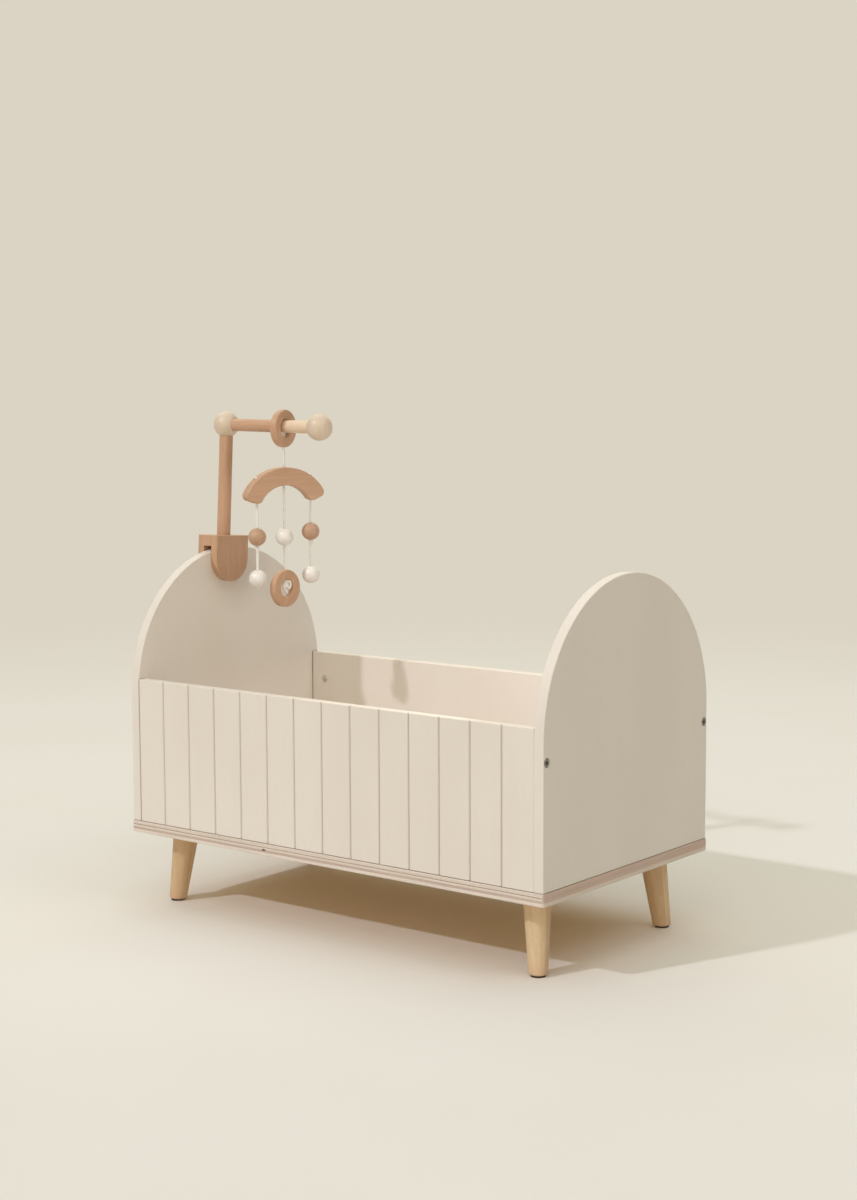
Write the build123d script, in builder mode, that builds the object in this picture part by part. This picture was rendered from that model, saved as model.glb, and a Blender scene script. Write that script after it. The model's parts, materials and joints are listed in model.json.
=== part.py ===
from build123d import *
import os
from math import atan2, cos, degrees, radians, sin, sqrt

# A small wooden cradle for dolls: a plywood base on four splayed legs, two grooved
# side panels, two arched end panels, and a bead mobile whose holder straddles the
# head panel. Millimetres. The origin is on the floor under the middle of the crib:
# +X runs to the foot end, -Y is the front, +Z is up.

# Crib sizes
crib_length = 496.0         # over the outer faces of the end panels
crib_width = 270.0          # over the outer faces of the side panels
panel_t = 10.0
base_t = 11.5
base_overhang = 1.0         # base beyond the panels, all round
base_corner_r = 2.5
floor_to_base = 72.0        # floor to the underside of the base
side_height = 142.0         # side panels, above the base
end_height = 264.5          # end panels, above the base, to the top of the arch
edge_ease = 0.5             # small bevel on every panel edge
board_count = 14            # boards that the grooves draw on a side panel
groove_w = 2.2
groove_depth = 1.5

# Leg sizes
leg_top_inset_x = 34.0      # leg axis at the base, in from the end panel's outer face
leg_top_inset_y = 40.0      # leg axis at the base, in from the side panel's outer face
leg_splay_x = 6.5           # how far the foot stands out past the leg's top
leg_splay_y = 7.8
leg_top_d = 26.0
leg_foot_d = 17.0
leg_foot_round = 2.5
leg_bolt_d = 8.0
leg_bolt_in_leg = 28.0
leg_bolt_in_base = 8.0
insert_d = 12.0
insert_length = 9.0
glide_d = 13.0
glide_t = 1.5
glide_pin_d = 2.0
glide_pin_length = 9.0

# Panel fastener sizes
connector_drop = 29.0       # connector bolts, below the side panels' top
connector_d = 4.0
connector_length = 32.0
connector_head_d = 8.0
connector_head_h = 2.4
connector_socket = 3.0      # hexagon socket, across flats
connector_socket_depth = 1.6
barrel_d = 8.0
barrel_length = 8.0
barrel_inset = 17.5         # barrel nut axis, in from the side panel's end
barrel_slot_w = 1.0
barrel_slot_length = 5.5
barrel_slot_depth = 1.0
dowel_d = 6.0
dowel_length = 24.0
dowel_in_end_panel = 8.0
dowel_rise = 38.0           # locating dowels, above the base
screw_d = 3.6
screw_length = 34.0
screw_head_d = 7.6
screw_head_h = 2.4
side_screw_pitch = 150.0
end_screw_pitch = 120.0

# Mobile holder, post and arm sizes
holder_w = 46.6
holder_height = 47.0
cheek_t = 8.0
bridge_t = 11.0             # wood above the slot
holder_shift = -14.0        # holder's middle along the arch, from the crib's middle
holder_roll = 3.4           # how far the holder leans sideways on the arch, degrees
post_d = 13.8
arm_d = 12.7
post_bore_depth = 9.0
post_rise = 113.3           # elbow ball's centre above the holder's top
ball_d = 26.4
arm_span = 126.0            # between the two balls' centres
arm_droop = 0.64            # degrees
arm_past_centre = 2.0       # arm's inner end, past the elbow ball's centre
arm_end_seat = 8.0          # arm's depth in the end ball

# Hanging sizes
ring_d = 37.8
ring_t = 7.5
ring_round = 1.8
ring_reach = 78.0           # top ring's place along the arm, from the elbow
ring_yaw = 7.0              # top ring's turn about the vertical, degrees
low_ring_yaw = -2.0
bar_outer_r = 47.0
bar_inner_r = 29.0
bar_t = 14.0
bar_half_angle = 68.0       # arch of the hanger, each side of its top, degrees
bar_corner_r = 5.5          # round of the hanger's corners, where its depth allows it
bar_ease = 0.8
bar_yaw = 63.0              # hanger's long direction, from +X, degrees
bar_tilt = 2.0              # its +X end is this much higher, degrees
cord_d = 2.4
cord_free = 20.0            # bare cord between the top ring and the hanger
string_offset = 28.8        # side strings, from the hanger's middle
bead_d = 18.0
knot_d = 3.8
knot_recess_d = 4.8
knot_recess_depth = 4.6
bunch_d = 5.0               # bunched cord inside the lower ring
bunch_length = 13.0
string_beads = {"left": (33.8, 75.9), "right": (32.0, 75.9)}  # drops to brown, white
centre_bead_drop = 52.0
low_ring_drop = 104.2
swing_gap = 0.5             # air between a swinging cord and what it hangs from

# Clearances
hole_clear = 0.1            # radial, round bolts, screws, dowels and glued rods
turn_clear = 0.05           # radial, post turning in the holder
slot_clear = 0.25           # each side of the head panel in the holder's slot
seat_gap = 0.3              # between a resting piece and what carries it
cord_clear = 0.3            # radial, round a cord in a hole
rod_gap = 0.35              # between the post's top and the arm, inside the elbow ball

# Worked out from the sizes above
side_length = crib_length - 2 * panel_t
deck_z = floor_to_base + base_t
arch_r = crib_width / 2
arch_centre_z = deck_z + end_height - arch_r
side_y = crib_width / 2 - panel_t / 2
end_x = crib_length / 2 - panel_t / 2
bolt_z = deck_z + side_height - connector_drop
ring_hole_d = arm_d + knot_d + 3 * seat_gap        # room for the arm, and for the knot under it
bar_corner = min(bar_corner_r, 0.45 * (bar_outer_r - bar_inner_r))
corners = [("head", "front", -1, -1), ("head", "back", -1, 1),
           ("foot", "front", 1, -1), ("foot", "back", 1, 1)]

os.makedirs("parts", exist_ok=True)


def save(builder, node):
    """Label a finished piece and write it to its own STEP file."""
    builder.part.label = node
    export_step(builder.part, f"parts/{node}.step")


# ---------------------------------------------------------------- base plate
def leg_plane(end, side):
    """Plane at a leg's foot on the floor, with +Z up the leg."""
    top_x = end * (crib_length / 2 - leg_top_inset_x)
    top_y = side * (crib_width / 2 - leg_top_inset_y)
    foot = Vector(top_x + end * leg_splay_x, top_y + side * leg_splay_y, 0)
    return Plane(origin=foot, z_dir=Vector(top_x, top_y, floor_to_base) - foot)


leg_length = sqrt(floor_to_base**2 + leg_splay_x**2 + leg_splay_y**2)
leg_planes = [leg_plane(end, side) for _, _, end, side in corners]
side_screws = [(x * side_screw_pitch, y * side_y) for x in (-1, 0, 1) for y in (-1, 1)]
end_screws = [(x * end_x, y * end_screw_pitch / 2) for x in (-1, 1) for y in (-1, 1)]
# Each screw's mouth is on the underside, with +Z out of the wood.
screw_mouths = [Location((x, y, floor_to_base), (180, 0, 0)) for x, y in side_screws + end_screws]
screw_slope = degrees(atan2(screw_head_d / 2 - screw_d / 2, screw_head_h))
bottom_up = (Align.CENTER, Align.CENTER, Align.MIN)
top_down = (Align.CENTER, Align.CENTER, Align.MAX)

with BuildPart() as base_plate:
    with BuildSketch(Plane.XY.offset(floor_to_base)):
        RectangleRounded(crib_length + 2 * base_overhang, crib_width + 2 * base_overhang, base_corner_r)
    extrude(amount=base_t)
    chamfer(base_plate.faces().filter_by(Axis.Z).edges(), edge_ease)
    with Locations(*screw_mouths):
        CounterSinkHole(screw_d / 2 + hole_clear, screw_head_d / 2 + hole_clear, base_t + 1,
                        2 * screw_slope)
    for plane in leg_planes:
        with Locations(plane.offset(leg_length - insert_length).location):
            Cylinder(insert_d / 2 + hole_clear, 2 * insert_length, align=bottom_up, mode=Mode.SUBTRACT)
save(base_plate, "base_plate")


# ---------------------------------------------------------------- side and end panels
# Each bolt's mouth is on an end panel's outer face, with +Z out of the wood.
bolt_mouths = [Location(Plane(origin=(end * crib_length / 2, side * side_y, bolt_z), z_dir=(end, 0, 0)))
               for _, _, end, side in corners]
# Each dowel's blind end is inside an end panel, with +Z towards the crib's middle.
dowel_starts = [Location(Plane(origin=(end * (crib_length / 2 - panel_t + dowel_in_end_panel),
                                       side * side_y, deck_z + dowel_rise), z_dir=(-end, 0, 0)))
                for _, _, end, side in corners]
# Each barrel nut's mouth is on a side panel's inner face, with +Z into the crib.
barrel_mouths = [Location(Plane(origin=(end * (side_length / 2 - barrel_inset),
                                        side * (crib_width / 2 - panel_t), bolt_z), z_dir=(0, -side, 0)))
                 for _, _, end, side in corners]


def screw_pilots():
    """Bore every base screw's pilot hole out of the panel being built."""
    with Locations(*screw_mouths):
        Cylinder(screw_d / 2 + hole_clear, screw_length + 1, align=top_down, mode=Mode.SUBTRACT)


def fastener_holes():
    """Bore the connector bolts' and the dowels' holes out of the panel being built."""
    with Locations(*bolt_mouths):
        Cylinder(connector_d / 2 + hole_clear, connector_length + 1, align=top_down, mode=Mode.SUBTRACT)
        Cylinder(connector_head_d / 2 + 3 * hole_clear, connector_head_h, align=top_down,
                 mode=Mode.SUBTRACT)
    with Locations(*dowel_starts):
        Cylinder(dowel_d / 2 + hole_clear, dowel_length, align=bottom_up, mode=Mode.SUBTRACT)


def side_panel(side):
    """A side panel: a flat board whose outer face has upright V grooves."""
    outer_y = side * crib_width / 2
    with BuildPart() as panel:
        with BuildSketch(Plane.XY.offset(deck_z)):
            with Locations((0, side * side_y)):
                Rectangle(side_length, panel_t)
        extrude(amount=side_height)
        chamfer(panel.edges(), edge_ease)
        with BuildSketch(Plane.XY.offset(deck_z)):
            for i in range(1, board_count):
                groove_x = side_length * (i / board_count - 0.5)
                Polygon((groove_x - groove_w / 2, outer_y), (groove_x + groove_w / 2, outer_y),
                        (groove_x, outer_y - side * groove_depth), align=None)
        extrude(amount=side_height, mode=Mode.SUBTRACT)
        fastener_holes()
        with Locations(*barrel_mouths):
            Cylinder(barrel_d / 2 + hole_clear, barrel_length, align=top_down, mode=Mode.SUBTRACT)
        screw_pilots()
    return panel


def end_panel(end):
    """An end panel: an upright board with a half-round top."""
    with BuildPart() as panel:
        with BuildSketch(Plane.YZ.offset(end * end_x - panel_t / 2)):
            with BuildLine():
                arch = CenterArc((0, arch_centre_z), arch_r, 0, 180)
                Polyline(arch @ 1, (-arch_r, deck_z), (arch_r, deck_z), arch @ 0)
            make_face()
        extrude(amount=panel_t)
        chamfer(panel.faces().filter_by(Axis.X).edges(), edge_ease)
        fastener_holes()
        screw_pilots()
    return panel


save(side_panel(-1), "front_panel")
save(side_panel(1), "back_panel")
save(end_panel(-1), "head_panel")
save(end_panel(1), "foot_panel")


# ---------------------------------------------------------------- legs
leg_flare = (leg_top_d - leg_foot_d) / 2 / leg_length   # radius gained per mm of height
leg_spare = leg_top_d / 2                               # wood that the level cuts take off


def leg(plane):
    """A tapered round leg, cut level at the base and at its glide."""
    with BuildPart() as wood:
        with Locations(plane.offset(-leg_spare).location):
            Cone(leg_foot_d / 2 - leg_flare * leg_spare, leg_top_d / 2 + leg_flare * leg_spare,
                 leg_length + 2 * leg_spare, align=bottom_up)
        split(bisect_by=Plane.XY.offset(floor_to_base), keep=Keep.BOTTOM)
        split(bisect_by=Plane.XY.offset(glide_t), keep=Keep.TOP)
        fillet(wood.edges().group_by(Axis.Z)[0], leg_foot_round)
        with Locations(plane.offset(leg_length - leg_bolt_in_leg).location):
            Cylinder(leg_bolt_d / 2 + hole_clear, leg_length, align=bottom_up, mode=Mode.SUBTRACT)
        with Locations(plane.location):
            Cylinder(glide_pin_d / 2 + hole_clear, glide_pin_length, align=bottom_up, mode=Mode.SUBTRACT)
    return wood


for (end_name, side_name, _, _), plane in zip(corners, leg_planes):
    save(leg(plane), f"leg_{end_name}_{side_name}")

with BuildPart() as leg_bolts:
    for plane in leg_planes:
        with Locations(plane.offset(leg_length - leg_bolt_in_leg).location):
            Cylinder(leg_bolt_d / 2, leg_bolt_in_leg + leg_bolt_in_base, align=bottom_up)
    chamfer(leg_bolts.edges().filter_by(GeomType.CIRCLE), edge_ease)
save(leg_bolts, "leg_bolts")

with BuildPart() as leg_inserts:
    for plane in leg_planes:
        with Locations(plane.offset(leg_length - insert_length).location):
            Cylinder(insert_d / 2, 2 * insert_length, align=bottom_up)
            Cylinder(leg_bolt_d / 2 + hole_clear, 2 * insert_length, align=bottom_up, mode=Mode.SUBTRACT)
    split(bisect_by=Plane.XY.offset(floor_to_base), keep=Keep.TOP)
save(leg_inserts, "leg_inserts")

with BuildPart() as leg_glides:
    for plane in leg_planes:
        with Locations((plane.origin.X, plane.origin.Y, 0)):
            Cylinder(glide_d / 2, glide_t, align=bottom_up)
        with Locations(plane.offset(glide_t / 2).location):
            Cylinder(glide_pin_d / 2, glide_pin_length - glide_t, align=bottom_up)
save(leg_glides, "leg_glides")


# ---------------------------------------------------------------- panel fasteners
with BuildPart() as connector_bolts:
    with Locations(*bolt_mouths):
        Cylinder(connector_d / 2, connector_length, align=top_down)
        Cylinder(connector_head_d / 2, connector_head_h, align=top_down)
    for mouth in bolt_mouths:
        with BuildSketch(Plane(mouth)):
            RegularPolygon(connector_socket / 2, 6, major_radius=False)
        extrude(amount=-connector_socket_depth, mode=Mode.SUBTRACT)
save(connector_bolts, "connector_bolts")

with BuildPart() as barrel_nuts:
    with Locations(*barrel_mouths):
        Cylinder(barrel_d / 2, barrel_length, align=top_down)
    for mouth in barrel_mouths:
        with BuildSketch(Plane(mouth)):
            Rectangle(barrel_slot_w, barrel_slot_length)
            Rectangle(barrel_slot_length, barrel_slot_w)
        extrude(amount=-barrel_slot_depth, mode=Mode.SUBTRACT)
    with Locations(*bolt_mouths):
        Cylinder(connector_d / 2 + hole_clear, connector_length + 1, align=top_down, mode=Mode.SUBTRACT)
save(barrel_nuts, "barrel_nuts")

with BuildPart() as locating_dowels:
    with Locations(*dowel_starts):
        Cylinder(dowel_d / 2, dowel_length, align=bottom_up)
    chamfer(locating_dowels.edges().filter_by(GeomType.CIRCLE), edge_ease)
save(locating_dowels, "locating_dowels")

with BuildPart() as base_screws:
    with Locations(*screw_mouths):
        Cylinder(screw_d / 2, screw_length, align=top_down)
        Cone(screw_d / 2, screw_head_d / 2, screw_head_h, align=top_down)
    for mouth in screw_mouths:
        with BuildSketch(Plane(mouth)):
            Rectangle(barrel_slot_w, screw_d)
            Rectangle(screw_d, barrel_slot_w)
        extrude(amount=-barrel_slot_depth, mode=Mode.SUBTRACT)
save(base_screws, "base_screws")


# ---------------------------------------------------------------- mobile holder
slot_w = panel_t + 2 * slot_clear
slot_roof = arch_r + seat_gap
holder_top = slot_roof + bridge_t
cheek_bottom = holder_top - holder_height
# The holder leans about the arch's own axis: +Z is its upright, +X the crib's length.
holder_plane = Plane(origin=(-end_x, 0, arch_centre_z), x_dir=(1, 0, 0),
                     z_dir=(0, sin(radians(holder_roll)), cos(radians(holder_roll))))
holder_side = Plane(origin=holder_plane.origin, x_dir=holder_plane.y_dir, z_dir=holder_plane.x_dir)
post_foot = holder_plane.from_local_coords(Vector(0, holder_shift, holder_top))
post_plane = Plane(origin=post_foot, x_dir=(1, 0, 0), z_dir=holder_plane.z_dir)

with BuildPart() as mobile_holder:
    with BuildSketch(holder_side):
        with Locations((holder_shift, cheek_bottom + holder_w / 2)):
            Circle(holder_w / 2)
        with Locations((holder_shift, (cheek_bottom + holder_w / 2 + holder_top) / 2)):
            Rectangle(holder_w, holder_height - holder_w / 2)
    extrude(amount=slot_w / 2 + cheek_t, both=True)
    chamfer(mobile_holder.faces().filter_by(Axis.X).edges(), edge_ease)
    with BuildSketch(holder_plane.offset(slot_roof)):
        with Locations((0, holder_shift)):
            Rectangle(slot_w, 2 * holder_w)
    extrude(amount=-holder_height, mode=Mode.SUBTRACT)
    with BuildSketch(post_plane):
        Circle(post_d / 2 + turn_clear)
    extrude(amount=-post_bore_depth, mode=Mode.SUBTRACT)
save(mobile_holder, "mobile_holder")


# ---------------------------------------------------------------- post, balls and arm
elbow = post_plane.from_local_coords(Vector(0, 0, post_rise))
arm_way = Vector(cos(radians(arm_droop)), 0, -sin(radians(arm_droop)))
arm_plane = Plane(origin=elbow, x_dir=(0, 1, 0), z_dir=arm_way)
post_below_centre = arm_d / 2 + rod_gap                # post's top, below the elbow ball's centre
post_length = post_rise - post_below_centre + post_bore_depth - seat_gap

with BuildPart() as mobile_post:
    with Locations(post_plane.offset(seat_gap - post_bore_depth).location):
        Cylinder(post_d / 2, post_length, align=bottom_up)
    chamfer(mobile_post.edges().filter_by(GeomType.CIRCLE), edge_ease)
save(mobile_post, "mobile_post")

with BuildPart() as elbow_ball:
    with Locations(elbow):
        Sphere(ball_d / 2)
    with Locations(post_plane.offset(post_rise - post_below_centre).location):
        Cylinder(post_d / 2 + hole_clear, ball_d, align=top_down, mode=Mode.SUBTRACT)
    with Locations(arm_plane.offset(-arm_past_centre).location):
        Cylinder(arm_d / 2 + hole_clear, ball_d, align=bottom_up, mode=Mode.SUBTRACT)
save(elbow_ball, "elbow_ball")

with BuildPart() as mobile_arm:
    with Locations(arm_plane.offset(-arm_past_centre).location):
        Cylinder(arm_d / 2, arm_past_centre + arm_span - ball_d / 2 + arm_end_seat, align=bottom_up)
    chamfer(mobile_arm.edges().filter_by(GeomType.CIRCLE), edge_ease)
save(mobile_arm, "mobile_arm")

with BuildPart() as end_ball:
    with Locations(arm_plane.offset(arm_span).location):
        Sphere(ball_d / 2)
    with Locations(arm_plane.offset(arm_span - ball_d / 2 + arm_end_seat).location):
        Cylinder(arm_d / 2 + hole_clear, ball_d, align=top_down, mode=Mode.SUBTRACT)
save(end_ball, "end_ball")


# ---------------------------------------------------------------- rings
ring_sag = ring_hole_d / 2 - arm_d / 2 - seat_gap       # ring's centre, below the arm's
ring_centre = arm_plane.from_local_coords(Vector(0, 0, ring_reach)) - Vector(0, 0, ring_sag)
hang_x = ring_centre.X
hang_y = ring_centre.Y
ring_bottom_z = ring_centre.Z - ring_d / 2
bar_top_z = ring_bottom_z - cord_free
bar_centre_z = bar_top_z - bar_outer_r
centre_pivot_z = bar_centre_z + bar_inner_r
low_ring_z = centre_pivot_z - low_ring_drop


def turned_ring(centre_z, yaw, cord_side):
    """A ring that stands on edge, with a cord hole through its rim, above or below."""
    face = Plane(origin=(hang_x, hang_y, centre_z),
                 x_dir=(-sin(radians(yaw)), cos(radians(yaw)), 0),
                 z_dir=(cos(radians(yaw)), sin(radians(yaw)), 0))
    with BuildPart() as ring:
        with BuildSketch(face):
            Circle(ring_d / 2)
            Circle(ring_hole_d / 2, mode=Mode.SUBTRACT)
        extrude(amount=ring_t / 2, both=True)
        fillet(ring.edges().filter_by(GeomType.CIRCLE), ring_round)
        with BuildSketch(Plane.XY.offset(centre_z)):
            with Locations((hang_x, hang_y)):
                Circle(cord_d / 2 + cord_clear)
        extrude(amount=cord_side * ring_d, mode=Mode.SUBTRACT)
    return ring


save(turned_ring(ring_centre.Z, ring_yaw, -1), "arm_ring")
save(turned_ring(low_ring_z, low_ring_yaw, 1), "low_ring")


# ---------------------------------------------------------------- hanger bar
bar_way = Vector(cos(radians(bar_yaw)) * cos(radians(bar_tilt)),
                 sin(radians(bar_yaw)) * cos(radians(bar_tilt)), sin(radians(bar_tilt)))
bar_plane = Plane(origin=(hang_x, hang_y, bar_centre_z), x_dir=bar_way,
                  z_dir=(sin(radians(bar_yaw)), -cos(radians(bar_yaw)), 0))
string_top = sqrt(bar_outer_r**2 - string_offset**2)           # where a side string leaves above
string_exit = ((bar_inner_r + bar_corner) * cos(radians(bar_half_angle))
               + bar_corner * (sin(radians(bar_half_angle)) - 1))         # and below
bar_ends = {"left": -1, "right": 1}


def bar_point(end, height):
    """A point of the hanger's own frame, over or under one of its string holes."""
    return bar_plane.from_local_coords(Vector(end * string_offset, height, 0))


def upright(x, y, height, radius, length, way=Mode.ADD):
    """A round upright at (x, y) in the part being built, from a height upwards."""
    with Locations((x, y, height)):
        Cylinder(radius, length, align=bottom_up, mode=way)


with BuildPart() as hanger_bar:
    with BuildSketch(bar_plane):
        with BuildLine():
            outer = CenterArc((0, 0), bar_outer_r, 90 - bar_half_angle, 2 * bar_half_angle)
            inner = CenterArc((0, 0), bar_inner_r, 90 - bar_half_angle, 2 * bar_half_angle)
            Line(outer @ 0, inner @ 0)
            Line(outer @ 1, inner @ 1)
        face = make_face()
        fillet(face.vertices(), bar_corner)
    extrude(amount=bar_t / 2, both=True)
    chamfer(hanger_bar.faces().filter_by(Axis(bar_plane.origin, bar_plane.z_dir)).edges(), bar_ease)
    upright(hang_x, hang_y, centre_pivot_z - 1, cord_d / 2 + cord_clear, bar_outer_r, Mode.SUBTRACT)
    upright(hang_x, hang_y, centre_pivot_z - 1, knot_recess_d / 2, knot_recess_depth + 1, Mode.SUBTRACT)
    for end in bar_ends.values():
        mouth = bar_point(end, string_exit)
        upright(mouth.X, mouth.Y, mouth.Z - 5, cord_d / 2 + cord_clear, bar_outer_r, Mode.SUBTRACT)
        with Locations((mouth.X, mouth.Y, bar_point(end, string_top).Z)):
            Sphere(knot_recess_d / 2, mode=Mode.SUBTRACT)
save(hanger_bar, "hanger_bar")


# ---------------------------------------------------------------- cords and knots
with BuildPart() as ring_knot:
    with Locations((hang_x, hang_y, ring_centre.Z - ring_hole_d / 2 + knot_d / 2 + cord_clear)):
        Sphere(knot_d / 2)
    upright(hang_x, hang_y, ring_bottom_z, cord_d / 2, (ring_d - ring_hole_d) / 2 + knot_d / 2)
save(ring_knot, "ring_knot")

bar_knot_z = centre_pivot_z + knot_recess_depth - knot_d / 2 - cord_clear
with BuildPart() as bar_knot:
    with Locations((hang_x, hang_y, bar_knot_z)):
        Sphere(knot_d / 2)
save(bar_knot, "bar_knot")

with BuildPart() as suspension_cord:
    upright(hang_x, hang_y, bar_knot_z, cord_d / 2, ring_bottom_z - swing_gap - bar_knot_z)
save(suspension_cord, "suspension_cord")


def string_anchor(end):
    """The knot on top of the hanger, with the cord that it holds inside the wood."""
    top = bar_point(end, string_top)
    mouth = bar_point(end, string_exit)
    with BuildPart() as anchor:
        with Locations((mouth.X, mouth.Y, top.Z)):
            Sphere(knot_d / 2)
        upright(mouth.X, mouth.Y, mouth.Z + swing_gap, cord_d / 2, top.Z - mouth.Z - swing_gap)
    return anchor


def bead(x, y, z, end_of_string):
    """A drilled ball; the last one on a string has a recess below for its knot."""
    with BuildPart() as ball:
        with Locations((x, y, z)):
            Sphere(bead_d / 2)
            Cylinder(cord_d / 2 + cord_clear, bead_d, mode=Mode.SUBTRACT)
        if end_of_string:
            with Locations((x, y, z - bead_d / 2)):
                Cylinder(knot_recess_d / 2, knot_d, align=bottom_up, mode=Mode.SUBTRACT)
    return ball


def knots(x, y, heights):
    """Round knots, one under another on one string."""
    with BuildPart() as tied:
        with Locations(*[(x, y, z) for z in heights]):
            Sphere(knot_d / 2)
    return tied


for name, end in bar_ends.items():
    save(string_anchor(end), f"{name}_anchor_knot")
    pivot = bar_point(end, string_exit)
    brown_z = pivot.Z - string_beads[name][0]
    white_z = pivot.Z - string_beads[name][1]
    last_knot_z = white_z - bead_d / 2 + knot_d / 2
    with BuildPart() as side_cord:
        upright(pivot.X, pivot.Y, last_knot_z, cord_d / 2, pivot.Z - swing_gap - last_knot_z)
    save(side_cord, f"{name}_cord")
    save(bead(pivot.X, pivot.Y, brown_z, False), f"{name}_brown_bead")
    save(bead(pivot.X, pivot.Y, white_z, True), f"{name}_white_bead")
    save(knots(pivot.X, pivot.Y, [brown_z - bead_d / 2 - knot_d / 2, last_knot_z]), f"{name}_knots")

centre_bead_z = centre_pivot_z - centre_bead_drop
bunch_top = low_ring_z + ring_hole_d / 2 - cord_clear
with BuildPart() as centre_cord:
    upright(hang_x, hang_y, bunch_top - bunch_d / 2, cord_d / 2,
            centre_pivot_z - swing_gap - bunch_top + bunch_d / 2)
save(centre_cord, "centre_cord")
save(bead(hang_x, hang_y, centre_bead_z, False), "centre_white_bead")
save(knots(hang_x, hang_y, [centre_bead_z - bead_d / 2 - knot_d / 2]), "centre_knot")

with BuildPart() as low_ring_knot:
    with Locations((hang_x, hang_y, bunch_top - bunch_d / 2)):
        Sphere(bunch_d / 2)
    upright(hang_x, hang_y, bunch_top - bunch_length, bunch_d / 2, bunch_length - bunch_d / 2)
    fillet(low_ring_knot.edges().group_by(Axis.Z)[0], bunch_d / 2 - edge_ease)
save(low_ring_knot, "low_ring_knot")
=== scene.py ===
"""Looks of a wooden toy cradle with a bead mobile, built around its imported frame. Lengths are metres."""

import json
import logging
import math
from dataclasses import dataclass, field
from enum import Enum

import bmesh
import bpy
import numpy as np
from mathutils import Euler, Matrix, Vector

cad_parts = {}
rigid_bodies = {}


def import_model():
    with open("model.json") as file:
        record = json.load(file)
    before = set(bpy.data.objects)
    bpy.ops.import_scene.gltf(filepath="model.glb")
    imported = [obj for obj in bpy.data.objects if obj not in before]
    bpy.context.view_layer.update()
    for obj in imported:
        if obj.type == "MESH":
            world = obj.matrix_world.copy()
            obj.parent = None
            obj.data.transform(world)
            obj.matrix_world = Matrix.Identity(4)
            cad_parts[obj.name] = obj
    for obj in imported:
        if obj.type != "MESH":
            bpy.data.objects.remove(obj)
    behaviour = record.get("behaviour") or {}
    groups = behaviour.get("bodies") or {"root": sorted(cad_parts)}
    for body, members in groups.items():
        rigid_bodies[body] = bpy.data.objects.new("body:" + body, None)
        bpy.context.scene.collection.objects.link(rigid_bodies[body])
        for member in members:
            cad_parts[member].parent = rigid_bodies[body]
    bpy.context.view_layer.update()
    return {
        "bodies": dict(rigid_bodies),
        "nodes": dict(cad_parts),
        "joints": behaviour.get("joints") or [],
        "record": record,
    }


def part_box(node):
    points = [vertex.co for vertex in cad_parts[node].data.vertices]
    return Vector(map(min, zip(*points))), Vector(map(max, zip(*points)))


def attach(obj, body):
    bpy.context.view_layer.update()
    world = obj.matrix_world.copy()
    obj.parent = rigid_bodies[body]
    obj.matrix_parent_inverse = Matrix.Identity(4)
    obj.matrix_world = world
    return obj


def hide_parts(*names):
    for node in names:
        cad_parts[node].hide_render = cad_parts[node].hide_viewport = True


logging.basicConfig(level=logging.INFO, format="%(name)s: %(message)s")
LOG = logging.getLogger("cradle")

MM = 0.001
Colour = tuple[float, float, float]
Pair = tuple[float, float]
Socket = bpy.types.NodeSocket


class Slot(Enum):
    """Names of the record's material slots; nothing here gives them to the new pieces."""

    BEECH = "beech"
    WHITE = "white_lacquer"
    CORD = "cotton_cord"
    DARK_STEEL = "dark_steel"


# ------------------------------------------------------------------ reading the frame
def middle(node: str) -> Vector:
    """The middle of a CAD node's box."""
    low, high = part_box(node)
    return (low + high) / 2


def node_points(frame: dict, node: str) -> np.ndarray:
    """A CAD node's vertices as an array of rows."""
    return np.array([v.co for v in frame["nodes"][node].data.vertices], float)


def long_axis(frame: dict, node: str) -> Vector:
    """The direction in which a CAD node's vertices spread most.

    Args:
        node: the CAD node's name.

    Returns:
        A unit vector that points up, or to +X where the node lies level.
    """
    points = node_points(frame, node)
    axis = Vector(np.linalg.svd(points - points.mean(0), full_matrices=False)[2][0])
    steep = axis.z if abs(axis.z) > 0.5 else axis.x
    return axis if steep > 0 else -axis


# ------------------------------------------------------------------ node trees
class NodeTree:
    """A node tree, with short calls that add and link nodes."""

    family = ""

    def __init__(self, tree: bpy.types.NodeTree) -> None:
        """Take over a tree."""
        self.tree = tree

    def add(self, kind: str, inputs: dict | None = None, **settings) -> bpy.types.Node:
        """Add a node.

        Args:
            kind: the node's type; the tree's own family name is put before one without "Node" in it.
            inputs: socket name or number to a value, a socket, or a list of sockets.
            settings: the node's own properties.

        Returns:
            The new node.
        """
        node = self.tree.nodes.new(kind if "Node" in kind else self.family + kind)
        for key, value in settings.items():
            setattr(node, key, value)
        for key, value in (inputs or {}).items():
            if isinstance(value, (bpy.types.NodeSocket, list)):
                for one in value if isinstance(value, list) else [value]:
                    self.tree.links.new(one, node.inputs[key])
            else:
                node.inputs[key].default_value = value
        return node

    def calc(self, operation: str, a: Socket | float, b: Socket | float = 0.0) -> Socket:
        """A Math node's result."""
        return self.add("ShaderNodeMath", {0: a, 1: b}, operation=operation).outputs[0]


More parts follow.
